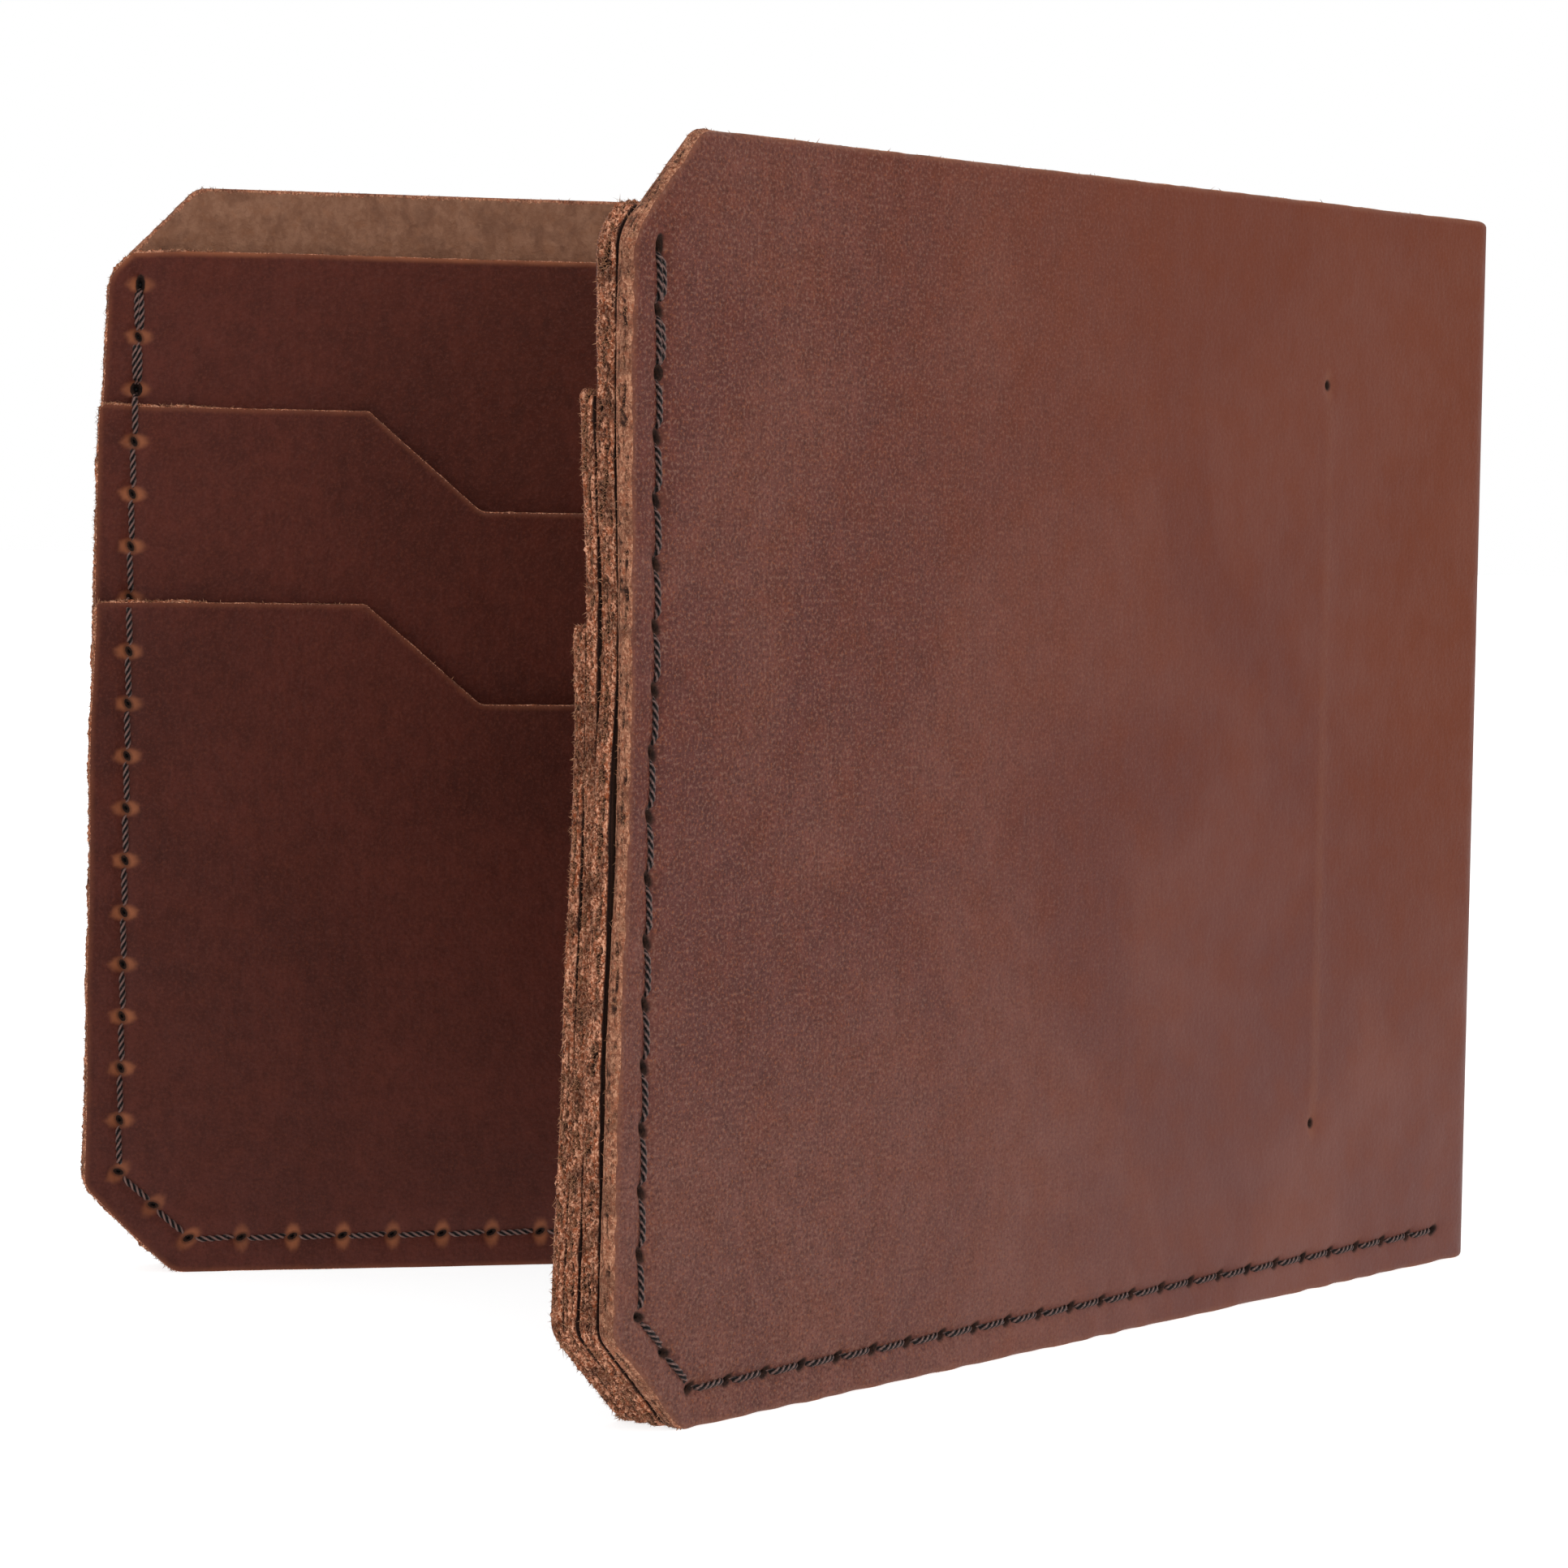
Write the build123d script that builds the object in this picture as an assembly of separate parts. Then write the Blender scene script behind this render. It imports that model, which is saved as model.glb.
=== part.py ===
"""Minimalist leather bifold wallet, standing half open on its bottom edges.

The wallet is two mirrored halves joined by a narrow spine. Each half is a cover
panel, a liner that leaves a bill compartment behind it, and two stepped card
pockets, all sewn together round the free edge and the bottom. The cover is one
piece of leather on the real wallet: it is split here at the middle of its two
bends, where the hinge axes lie.

Frame: +Z up, the back half's outside faces +Y, its free edge points to -X. The
origin is the centre of the bottom of the whole wallet's box.
"""
import os
from math import cos, radians, sin, tan

from build123d import *

# Driving dimensions, in millimetres and degrees.
HEIGHT = 90.0            # bottom edge to top edge of the cover
PANEL = 116.0            # free edge of a half to its bend corner, on the outside
SPINE = 12.0             # one bend corner to the other
OPEN_ANGLE = 38.0        # between the two halves as the wallet stands
BEND_RADIUS = 4.0        # outside of the cover at each bend
COVER_T = 1.4            # cover leather
LINER_T = 1.5            # liner leather
POCKET_T = 1.1           # card pocket leather
BILL_GAP = 0.3           # flat bill compartment between cover and liner
LAYER_GAP = 0.1          # empty card slot between two layers
CHAMFER = 7.3            # cut corners at the free edge
CORNER_RADIUS = 2.0      # rounding of the cut corners

LINER_DROP = 5.3         # liner's top edge below the cover's
LINER_END = 4.0          # liner's inner edge to the bend corner
POCKET_END = 23.8        # pockets' inner edge to the bend corner
UPPER_TOP = 71.8         # upper pocket, height of its raised shoulders
LOWER_TOP = 55.7         # lower pocket, height of its raised shoulders
THUMB_DROP = 8.3         # depth of the thumb cut between the shoulders
SHOULDER = 22.0          # width of a raised shoulder
SLOPE_RUN = 10.0         # width of the slope from shoulder to thumb cut
CUT_RADIUS = 1.5         # rounding of the thumb cut's corners

THREAD_R = 0.4           # waxed thread
POST_R = 0.35            # thread squeezed in its needle hole
NEEDLE_HOLE_R = 0.3      # needle hole in the leather
STITCH_NOTCH = 0.25      # from a hole's centre to the start of the bar on the face
STITCH_INSET = 2.8       # outer seam line to the edge of the leather
SEAM_TOP = 81.8          # highest hole of the outer seam
SEAM_END = 6.3           # last hole of the bottom seam to the bend corner
SIDE_SEAM = 26.8         # pockets' inner seam to the bend corner
SIDE_SEAM_TOP = 75.1     # one stitch above the upper pocket's edge
CARD_STOP = 14.0         # height of the seam that closes the upper pocket's slot
EDGE_STITCHES = 17       # stitches down the free edge
CORNER_STITCHES = 2      # stitches along the cut corner
BOTTOM_STITCHES = 24     # stitches along the bottom
SIDE_STITCHES = 17       # stitches up the pockets' inner side
STOP_STITCHES = 20       # stitches along the card stop
OPEN_SINK = 0.1          # how far a bar's centre lies below a face in the open
BILL_SINK = 0.2          # the same on the liner's face towards the bill compartment
SLOT_SINK = 0.35         # the same inside a card slot
PIN_HOLE_R = 0.45        # marking holes at the ends of the pockets' seam
SLIT = 0.05              # half the slit between cover pieces, at the outside

# Worked out from the dimensions above.
BEND = (180.0 - OPEN_ANGLE) / 2.0
CLOSING = OPEN_ANGLE / 2.0
TANGENT = BEND_RADIUS * tan(radians(BEND / 2.0))
SPINE_DIR = Vector(cos(radians(BEND)), -sin(radians(BEND)), 0.0)
MIDDLE = Plane(origin=SPINE_DIR * (SPINE / 2.0), x_dir=(0, 0, 1), z_dir=SPINE_DIR)
BEND_CENTRE = Vector(-TANGENT, -BEND_RADIUS, 0.0)
BISECTOR = Vector(sin(radians(BEND / 2.0)), cos(radians(BEND / 2.0)), 0.0)
BACK_HINGE = BEND_CENTRE + BISECTOR * BEND_RADIUS
LINER_FACE = COVER_T + BILL_GAP
UPPER_FACE = LINER_FACE + LINER_T + LAYER_GAP
LOWER_FACE = UPPER_FACE + POCKET_T + LAYER_GAP


# Outlines, drawn in X and Z with the bend corner at X = 0.

def half_outline(end, top):
    """A half's outline: cut corners at the free edge, square at the fold."""
    outline = Polygon(
        (-PANEL, CHAMFER), (-PANEL, HEIGHT - CHAMFER),
        (CHAMFER - PANEL, HEIGHT), (end, HEIGHT), (end, 0.0), (CHAMFER - PANEL, 0.0),
        align=None,
    )
    cut_corners = outline.vertices().sort_by(Axis.X)[:4]
    outline = fillet(cut_corners, CORNER_RADIUS)
    below = Pos(-PANEL, 0.0) * Rectangle(PANEL + end, top, align=(Align.MIN, Align.MIN))
    return outline & below


def thumb_cut(shoulder_top):
    """The part of a pocket's height that its stepped top edge leaves empty."""
    left = -PANEL + SHOULDER
    right = -POCKET_END - SHOULDER
    low = shoulder_top - THUMB_DROP
    cut = Polygon(
        (left - SLOPE_RUN, shoulder_top + THUMB_DROP), (left, shoulder_top),
        (left + SLOPE_RUN, low), (right - SLOPE_RUN, low), (right, shoulder_top),
        (right + SLOPE_RUN, shoulder_top + THUMB_DROP),
        align=None,
    )
    low_corners = cut.vertices().sort_by(Axis.Y)[:2]
    return fillet(low_corners, CUT_RADIUS)


def plate(outline, face, thickness):
    """A flat layer whose side towards the cover lies at depth face."""
    return extrude(Plane.XZ.offset(face) * outline, thickness, dir=(0, -1, 0))


def pocket_top(x, shoulder_top):
    """Height of a pocket's top edge above the bottom, at one X."""
    from_side = min(x + PANEL, -POCKET_END - x)
    fall = (from_side - SHOULDER) / SLOPE_RUN
    return shoulder_top - THUMB_DROP * min(max(fall, 0.0), 1.0)


def inner_depth(x, z):
    """Depth of the innermost face of the layers at one point of a half."""
    in_pocket = x < -POCKET_END
    if in_pocket and z < pocket_top(x, LOWER_TOP):
        return LOWER_FACE + POCKET_T
    if in_pocket and z < pocket_top(x, UPPER_TOP):
        return UPPER_FACE + POCKET_T
    return LINER_FACE + LINER_T


# Seams, as lists of needle holes in X and Z.

def run_of_holes(start, end, stitches):
    """Evenly spaced holes from start up to, but not at, end."""
    steps = [i / stitches for i in range(stitches)]
    return [(start[0] + (end[0] - start[0]) * t, start[1] + (end[1] - start[1]) * t) for t in steps]


def perimeter_holes():
    """Down the free edge, round the bottom cut corner and along the bottom."""
    turn = CHAMFER + STITCH_INSET * tan(radians(22.5))
    edge_x = STITCH_INSET - PANEL
    top = (edge_x, SEAM_TOP)
    corner = (edge_x, turn)
    bottom = (turn - PANEL, STITCH_INSET)
    last = (-SEAM_END, STITCH_INSET)
    holes = run_of_holes(top, corner, EDGE_STITCHES)
    holes += run_of_holes(corner, bottom, CORNER_STITCHES)
    holes += run_of_holes(bottom, last, BOTTOM_STITCHES)
    return holes + [last]


def side_seam_holes():
    """Up the pockets' inner side, clear of the bottom seam's thread."""
    bottom = (-SIDE_SEAM, STITCH_INSET + 2.0 * THREAD_R + STITCH_NOTCH)
    top = (-SIDE_SEAM, SIDE_SEAM_TOP)
    return run_of_holes(bottom, top, SIDE_STITCHES) + [top]


def card_stop_holes():
    """Across the upper pocket, clear of the seams at both its sides."""
    clear = 2.0 * THREAD_R + STITCH_NOTCH
    left = (STITCH_INSET - PANEL + clear, CARD_STOP)
    right = (-SIDE_SEAM - clear, CARD_STOP)
    return run_of_holes(left, right, STOP_STITCHES) + [right]


def rod(start, end, radius):
    """A round bar from one point to another."""
    along = end - start
    bar = Cylinder(radius, along.length, align=(Align.CENTER, Align.CENTER, Align.MIN))
    return Plane(origin=start, z_dir=along) * bar


def seam_thread(holes, outer, inner):
    """Saddle stitches: a post in each hole and a bar between holes on both sides.

    outer and inner give the depth of the bars' centres at a hole.
    """
    pieces = []
    for x, z in holes:
        pieces.append(rod(Vector(x, -outer(x, z), z), Vector(x, -inner(x, z), z), POST_R))
    for (x0, z0), (x1, z1) in zip(holes, holes[1:]):
        for depth in (outer, inner):
            start = Vector(x0, -depth(x0, z0), z0)
            end = Vector(x1, -depth(x1, z1), z1)
            notch = (end - start).normalized() * STITCH_NOTCH
            pieces.append(rod(start + notch, end - notch, THREAD_R))
    return pieces[0].fuse(*pieces[1:])


def pierce(layer, holes, radius=NEEDLE_HOLE_R):
    """Needle holes right through a layer."""
    deep = LOWER_FACE + POCKET_T
    drills = [rod(Vector(x, 1.0, z), Vector(x, -deep - 1.0, z), radius) for x, z in holes]
    return layer - drills


# The leather.

def cover_half():
    """The cover from its free edge, round one bend, to the middle of the spine."""
    arc_angle = 90.0 - BEND
    outer = [
        Line((-PANEL, 0.0), (-TANGENT, 0.0)),
        CenterArc(BEND_CENTRE, BEND_RADIUS, 90.0, -BEND),
    ]
    inner_radius = BEND_RADIUS - COVER_T
    inner = [
        CenterArc(BEND_CENTRE, inner_radius, arc_angle, BEND),
        Line((-TANGENT, -COVER_T), (-PANEL, -COVER_T)),
    ]
    inward = Vector(-SPINE_DIR.Y, SPINE_DIR.X, 0.0) * -COVER_T
    middle = SPINE_DIR * (SPINE / 2.0)
    spine_outer = Line(outer[1] @ 1, middle)
    middle_end = Line(middle, middle + inward)
    spine_inner = Line(middle + inward, inner[0] @ 0)
    free_end = Line(inner[1] @ 1, outer[0] @ 0)
    profile = make_face([*outer, spine_outer, middle_end, spine_inner, *inner, free_end])
    strip = extrude(profile, HEIGHT, dir=(0, 0, 1))
    outline = half_outline(SPINE, HEIGHT)
    return strip & extrude(Plane.XZ.offset(-1.0) * outline, SPINE + 2.0, dir=(0, -1, 0))


def bend_knife():
    """The wedge that parts the cover at a bend, narrowest at the hinge axis."""
    across = Vector(BISECTOR.Y, -BISECTOR.X, 0.0)
    flare = tan(radians(CLOSING / 2.0 + 0.5))
    above = BACK_HINGE + BISECTOR
    below = BACK_HINGE - BISECTOR * (COVER_T + 1.0)
    wide = SLIT + flare * (COVER_T + 1.0)
    wedge = Polygon(
        above - across * SLIT, above + across * SLIT, BACK_HINGE + across * SLIT,
        below + across * wide, below - across * wide, BACK_HINGE - across * SLIT,
        align=None,
    )
    return extrude(Pos(0.0, 0.0, -1.0) * wedge, HEIGHT + 2.0, dir=(0, 0, 1))


def build_half():
    """All nodes of the back half, and the back half of the spine."""
    outer_seam = perimeter_holes()
    side_seam = side_seam_holes()
    card_stop = card_stop_holes()
    pins = [(-SIDE_SEAM, SIDE_SEAM_TOP), (-SIDE_SEAM, CARD_STOP)]

    strip = cover_half() - bend_knife()
    panel, spine = strip.solids().sort_by(Axis.X)
    panel = pierce(pierce(panel, outer_seam), pins, PIN_HOLE_R)

    liner = plate(half_outline(-LINER_END, HEIGHT - LINER_DROP), LINER_FACE, LINER_T)
    upper_shape = half_outline(-POCKET_END, UPPER_TOP) - thumb_cut(UPPER_TOP)
    lower_shape = half_outline(-POCKET_END, LOWER_TOP) - thumb_cut(LOWER_TOP)
    upper = plate(upper_shape, UPPER_FACE, POCKET_T)
    lower = plate(lower_shape, LOWER_FACE, POCKET_T)

    def cover_side(x, z):
        return OPEN_SINK

    def bill_side(x, z):
        return LINER_FACE + BILL_SINK

    def slot_side(x, z):
        return UPPER_FACE + POCKET_T - SLOT_SINK

    def pocket_side(x, z):
        return inner_depth(x, z) - OPEN_SINK

    nodes = {
        "cover_panel": panel,
        "liner": pierce(liner, outer_seam + side_seam + card_stop),
        "upper_pocket": pierce(upper, outer_seam + side_seam + card_stop),
        "lower_pocket": pierce(lower, outer_seam + side_seam),
        "perimeter_thread": seam_thread(outer_seam, cover_side, pocket_side),
        "side_seam_thread": seam_thread(side_seam, bill_side, pocket_side),
        "card_stop_thread": seam_thread(card_stop, bill_side, slot_side),
    }
    return nodes, spine


def build_wallet():
    """Both halves and the spine, with the bend corner of the back half at the origin."""
    half, half_spine = build_half()
    wallet = {}
    for name, shape in half.items():
        wallet[f"{name}_back"] = shape
        wallet[f"{name}_front"] = mirror(shape, about=MIDDLE)
    wallet["cover_spine"] = half_spine.fuse(mirror(half_spine, about=MIDDLE))
    return wallet


def across_middle(point):
    """The mirror image of a point in the spine's middle plane."""
    distance = (point - MIDDLE.origin).dot(SPINE_DIR)
    return point - SPINE_DIR * (2.0 * distance)


def main():
    wallet = build_wallet()
    box = Compound([solid for shape in wallet.values() for solid in shape.solids()]).bounding_box()
    shift = Vector(-box.center().X, -box.center().Y, 0.0)
    os.makedirs("parts", exist_ok=True)
    for name, shape in wallet.items():
        solids = [solid.moved(Location(shift)) for solid in shape.solids()]
        node = solids[0] if len(solids) == 1 else Compound(solids)
        export_step(node, f"parts/{name}.step")
    print("back fold axis through", BACK_HINGE + shift)
    print("front fold axis through", across_middle(BACK_HINGE) + shift)
    print("bend corner of the back half", shift)


if __name__ == "__main__":
    main()
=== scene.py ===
"""Minimalist leather bifold wallet: the visual model, its materials, floor, light and camera.

Leather is modelled unrolled, in millimetres: u runs along a half from its free edge
(u = -PANEL) over the bend corner (u = 0), z is the height and depth is measured from
the outside of the cover inwards. place() then rolls it into the wallet's frame.
"""
from math import acos, ceil, cos, pi, radians, sin, sqrt, tan

import bpy
import numpy as np
from mathutils import Matrix, Vector
from mathutils.geometry import delaunay_2d_cdt
from mathutils.kdtree import KDTree


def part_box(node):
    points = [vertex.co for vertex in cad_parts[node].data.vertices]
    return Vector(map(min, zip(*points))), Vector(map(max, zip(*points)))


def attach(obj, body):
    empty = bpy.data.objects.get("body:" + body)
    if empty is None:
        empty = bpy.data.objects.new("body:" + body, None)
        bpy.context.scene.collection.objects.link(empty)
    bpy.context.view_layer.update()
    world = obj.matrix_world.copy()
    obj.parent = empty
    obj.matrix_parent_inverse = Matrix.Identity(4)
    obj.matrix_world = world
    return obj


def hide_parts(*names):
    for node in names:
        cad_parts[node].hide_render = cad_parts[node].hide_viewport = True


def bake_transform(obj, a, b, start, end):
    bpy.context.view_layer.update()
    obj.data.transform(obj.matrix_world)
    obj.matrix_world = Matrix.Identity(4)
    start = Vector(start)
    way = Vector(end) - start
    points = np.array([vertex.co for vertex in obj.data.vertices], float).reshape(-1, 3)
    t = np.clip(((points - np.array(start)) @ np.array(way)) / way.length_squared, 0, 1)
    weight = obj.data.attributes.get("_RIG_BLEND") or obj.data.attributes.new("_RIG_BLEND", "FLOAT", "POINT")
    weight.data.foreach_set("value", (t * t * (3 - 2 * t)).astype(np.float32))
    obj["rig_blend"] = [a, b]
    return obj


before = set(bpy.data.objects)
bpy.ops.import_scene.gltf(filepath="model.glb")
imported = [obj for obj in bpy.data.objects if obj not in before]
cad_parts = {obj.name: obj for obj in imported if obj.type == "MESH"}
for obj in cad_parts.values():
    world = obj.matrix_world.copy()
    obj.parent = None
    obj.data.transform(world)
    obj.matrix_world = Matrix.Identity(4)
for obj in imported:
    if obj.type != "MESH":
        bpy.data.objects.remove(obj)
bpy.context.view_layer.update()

MM = 0.001
FAR = 9.0  # a distance, in millimetres, at which nothing of a feature shows
RIM, HOLE_WALL = 2, 3  # numbers of these materials in a layer's list; the faces have 0 and 1


def node_box(node):
    """A CAD node's box in millimetres."""
    low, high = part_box(node)
    return np.array(low) / MM, np.array(high) / MM


# Sizes of the design, in millimetres and radians, and the number of stitches.
PANEL = 116.0
SPINE = 12.0
BEND = radians(71.0)
BEND_RADIUS = 4.0
CHAMFER = 7.3
CORNER_RADIUS = 2.0
WORN_RADIUS = 3.6
COVER_TRIM = 0.25
THUMB_DROP = 8.3
SHOULDER = 22.0
SLOPE_RUN = 10.0
CUT_RADIUS = 1.5
STITCH_INSET = 2.8
SEAM_TOP = 81.8
SEAM_END = 6.3
SIDE_SEAM = 26.8
SIDE_SEAM_TOP = 75.1
CARD_STOP = 14.0
EDGE_STITCHES = 17
CORNER_STITCHES = 2
BOTTOM_STITCHES = 24
SIDE_STITCHES = 17
STOP_STITCHES = 20
COVER_T = 1.4

# How the leather is worked, in millimetres; a dent, groove or ridge is (height, width).
HOLE_POINTS = 10
HOLE_WAIST = 0.35  # the hole's width at half depth, as a share of its width at the face
SLIT_TILT = radians(25.0)
LINE_STEP = 0.35
SEAM_GAP = 1.05
EDGE_CLEAR = 0.6
GROOVE_OUTER = (0.24, 0.55)
GROOVE_INNER = (0.2, 0.5)
DENT = (0.24, 0.62)
RIDGE = (0.07, 1.0)
PIN_DENT = (0.16, 1.0)
FURROW = 0.62

# How finely the leather is meshed, in millimetres: steps, and how far from a seam they reach.
FINE_STEP, FINE_REACH = 0.5, 1.3
MIDDLE_STEP, MIDDLE_REACH = 1.1, (1.5, 3.4)
COARSE_STEP, COARSE_GAP = (2.4, 2.1), 1.2
SLIT_GAP = 0.7

# Sizes that the frame gives.
cover_low, cover_high = node_box("cover_panel_back")
SHIFT = np.array((cover_low[0] + PANEL, cover_high[1]))
HEIGHT = cover_high[2]
TANGENT = BEND_RADIUS * tan(BEND / 2)
ARC = BEND_RADIUS * BEND
MID_SPINE = SPINE / 2 - 2 * TANGENT + ARC
SPINE_DIR = np.array((cos(BEND), -sin(BEND)))


def layer_sizes(node):
    """(outer depth, inner depth, inner end, top) of a layer of the back half."""
    low, high = node_box(node)
    return SHIFT[1] - high[1], SHIFT[1] - low[1], high[0] - SHIFT[0], high[2]


LINER = layer_sizes("liner_back")
UPPER = layer_sizes("upper_pocket_back")
LOWER = layer_sizes("lower_pocket_back")


def place(u, z, depth, front):
    """Points of the unrolled leather, in the row frame and in metres."""
    u, z, depth = np.broadcast_arrays(u, z, depth)
    angle = np.clip((u + TANGENT) / BEND_RADIUS, 0.0, BEND)
    radius = BEND_RADIUS - depth
    before = np.minimum(u + TANGENT, 0.0)
    beyond = np.maximum(u + TANGENT - ARC, 0.0)
    x = before - TANGENT + radius * np.sin(angle) + beyond * SPINE_DIR[0]
    y = radius * np.cos(angle) - BEND_RADIUS + beyond * SPINE_DIR[1]
    flat = np.stack((x, y), -1)
    if front:
        past = flat @ SPINE_DIR - SPINE / 2
        flat = flat - 2.0 * past[..., None] * SPINE_DIR
    return np.concatenate((flat + SHIFT, z[..., None]), -1) * MM


# Outlines.

def rounded(corners, spacing, closed=True):
    """Points along an outline given by corners (u, z, radius); an open one's ends are sharp."""
    count = len(corners)
    runs = []
    for i, (u, z, radius) in enumerate(corners):
        here = np.array((u, z))
        if radius <= 0:
            runs.append([here])
            continue
        to_last = np.array(corners[i - 1][:2]) - here
        to_next = np.array(corners[(i + 1) % count][:2]) - here
        to_last /= np.linalg.norm(to_last)
        to_next /= np.linalg.norm(to_next)
        half = acos(np.clip(to_last @ to_next, -1.0, 1.0)) / 2
        centre_way = (to_last + to_next) / np.linalg.norm(to_last + to_next)
        centre = here + centre_way * radius / sin(half)
        start = here + to_last * radius / tan(half) - centre
        end = here + to_next * radius / tan(half) - centre
        turn = pi - 2 * half
        steps = max(3, ceil(radius * turn / spacing))
        runs.append([
            centre + (start * sin(turn * (1 - t)) + end * sin(turn * t)) / sin(turn)
            for t in np.linspace(0, 1, steps + 1)
        ])
    points = []
    for i, run in enumerate(runs):
        points += run
        if not closed and i == count - 1:
            break
        after = runs[(i + 1) % count][0]
        gap = np.linalg.norm(after - run[-1])
        steps = max(1, round(gap / spacing))
        points += [run[-1] + (after - run[-1]) * k / steps for k in range(1, steps)]
    return np.array(points)


def layer_corners(end, top):
    """A liner's or pocket's outline, anticlockwise from the free edge's cut corner."""
    corners = [
        (-PANEL, CHAMFER, CORNER_RADIUS), (CHAMFER - PANEL, 0.0, CORNER_RADIUS),
        (end, 0.0, 0.4), (end, top, 0.5),
    ]
    cut = HEIGHT - CHAMFER
    if top > cut:
        corners += [(top - cut - PANEL, top, 0.9), (-PANEL, cut, WORN_RADIUS)]
    else:
        corners += [(-PANEL, top, 0.5)]
    return corners


def pocket_corners(end, top):
    """A card pocket's outline, whose middle is cut lower for the thumb."""
    corners = layer_corners(end, top)
    left, right = SHOULDER - PANEL, end - SHOULDER
    low = top - THUMB_DROP
    mouth = [
        (right, top, 0.7), (right - SLOPE_RUN, low, CUT_RADIUS),
        (left + SLOPE_RUN, low, CUT_RADIUS), (left, top, 0.7),
    ]
    return corners[:4] + mouth + corners[4:]


def cover_corners():
    """The cover's outline, open at the middle of the spine."""
    return [
        (MID_SPINE, HEIGHT, 0.0), (CHAMFER - PANEL, HEIGHT, CORNER_RADIUS),
        (-PANEL, HEIGHT - CHAMFER, WORN_RADIUS), (-PANEL, CHAMFER, CORNER_RADIUS),
        (CHAMFER - PANEL, 0.0, CORNER_RADIUS), (MID_SPINE, 0.0, 0.0),
    ]


# Seams.

def seam_holes(start, *legs):
    """Evenly spaced needle holes from start along legs, each (its end, its stitches)."""
    holes, start = [], np.array(start)
    for end, stitches in legs:
        end = np.array(end)
        holes += [start + (end - start) * i / stitches for i in range(stitches)]
        start = end
    return np.array(holes + [start])


edge, turn = STITCH_INSET - PANEL, CHAMFER + STITCH_INSET * tan(radians(22.5))
OUTER_SEAM = seam_holes(
    (edge, SEAM_TOP), ((edge, turn), EDGE_STITCHES),
    ((turn - PANEL, STITCH_INSET), CORNER_STITCHES), ((-SEAM_END, STITCH_INSET), BOTTOM_STITCHES))
SIDE = seam_holes(
    (-SIDE_SEAM, STITCH_INSET + SEAM_GAP), ((-SIDE_SEAM, SIDE_SEAM_TOP), SIDE_STITCHES))
STOP = seam_holes(
    (edge + SEAM_GAP, CARD_STOP), ((-SIDE_SEAM - SEAM_GAP, CARD_STOP), STOP_STITCHES))
PINS = np.array([(-SIDE_SEAM, SIDE_SEAM_TOP), (-SIDE_SEAM, CARD_STOP)])


def along(path, spacing):
    """Points along a polyline."""
    out = []
    for a, b in zip(path, path[1:]):
        steps = max(1, ceil(np.linalg.norm(b - a) / spacing))
        out += [a + (b - a) * k / steps for k in range(steps)]
    return np.array(out + [path[-1]])


def tree_of(spots):
    tree = KDTree(len(spots))
    for i, (a, b) in enumerate(spots):
        tree.insert((a, b, 0.0), i)
    tree.balance()
    return tree


def nearest(points, others):
    """Distance from each point to the nearest of the others."""
    tree = tree_of(others)
    return np.array([tree.find((a, b, 0.0))[2] for a, b in points])


def halo_distance(points, holes):
    """Distance to the nearest hole, shorter across the seam than along it."""
    tree = tree_of(holes)
    way = np.zeros(holes.shape)
    for i, spot in enumerate(holes):
        other = tree.find_n((*spot, 0.0), 2)[-1][0]
        way[i] = np.array(other[:2]) - spot
    way /= np.maximum(np.linalg.norm(way, axis=1), 1e-9)[:, None]
    which = np.array([tree.find((a, b, 0.0))[1] for a, b in points])
    away = points - holes[which]
    along_seam = (away * way[which]).sum(1)
    across = np.abs(away[:, 0] * way[which][:, 1] - away[:, 1] * way[which][:, 0])
    return np.hypot(along_seam * 1.35, across * 0.75)


def ellipse(hole, grow, count, shift=0.0):
    """Points round a slit (u, z, half length, half width, angle) that grows by a margin."""
    u, z, long, wide, tilt = hole
    turn = (np.arange(count) + shift) * 2 * pi / count
    a, b = (long + grow) * np.cos(turn), (wide + grow) * np.sin(turn)
    return np.stack((u + a * cos(tilt) - b * sin(tilt), z + a * sin(tilt) + b * cos(tilt)), 1)


def column(u, low, high, step):
    """Points one above the other."""
    zs = np.arange(low, high, step)
    return np.stack((np.full(len(zs), u), zs), 1)


class Waves:
    """Smooth noise in the plane, or along a line: a sum of sines of mixed lengths."""

    def __init__(self, rng, shortest, longest, count=9):
        length = np.exp(rng.uniform(np.log(shortest), np.log(longest), count))
        way = rng.uniform(0, 2 * pi, count)
        self.k = np.stack((np.cos(way), np.sin(way))) * 2 * pi / length
        self.phase = rng.uniform(0, 2 * pi, count)
        self.scale = sqrt(2.0 / count)

    def __call__(self, a, b=0.0):
        a, b = np.broadcast_arrays(a, b)
        angle = a[..., None] * self.k[0] + b[..., None] * self.k[1] + self.phase
        return np.sin(angle).sum(-1) * self.scale


def bell(distance, width):
    return np.exp(-(distance / width) ** 2)


def pressed(distance, shape):
    """How deep a dent of shape (depth, width) is at a distance."""
    return shape[0] * bell(distance, shape[1])


def ease(x, low, high):
    """0 below low and 1 above high, smooth between."""
    t = np.clip((x - low) / (high - low), 0.0, 1.0)
    return t * t * (3 - 2 * t)


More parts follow.
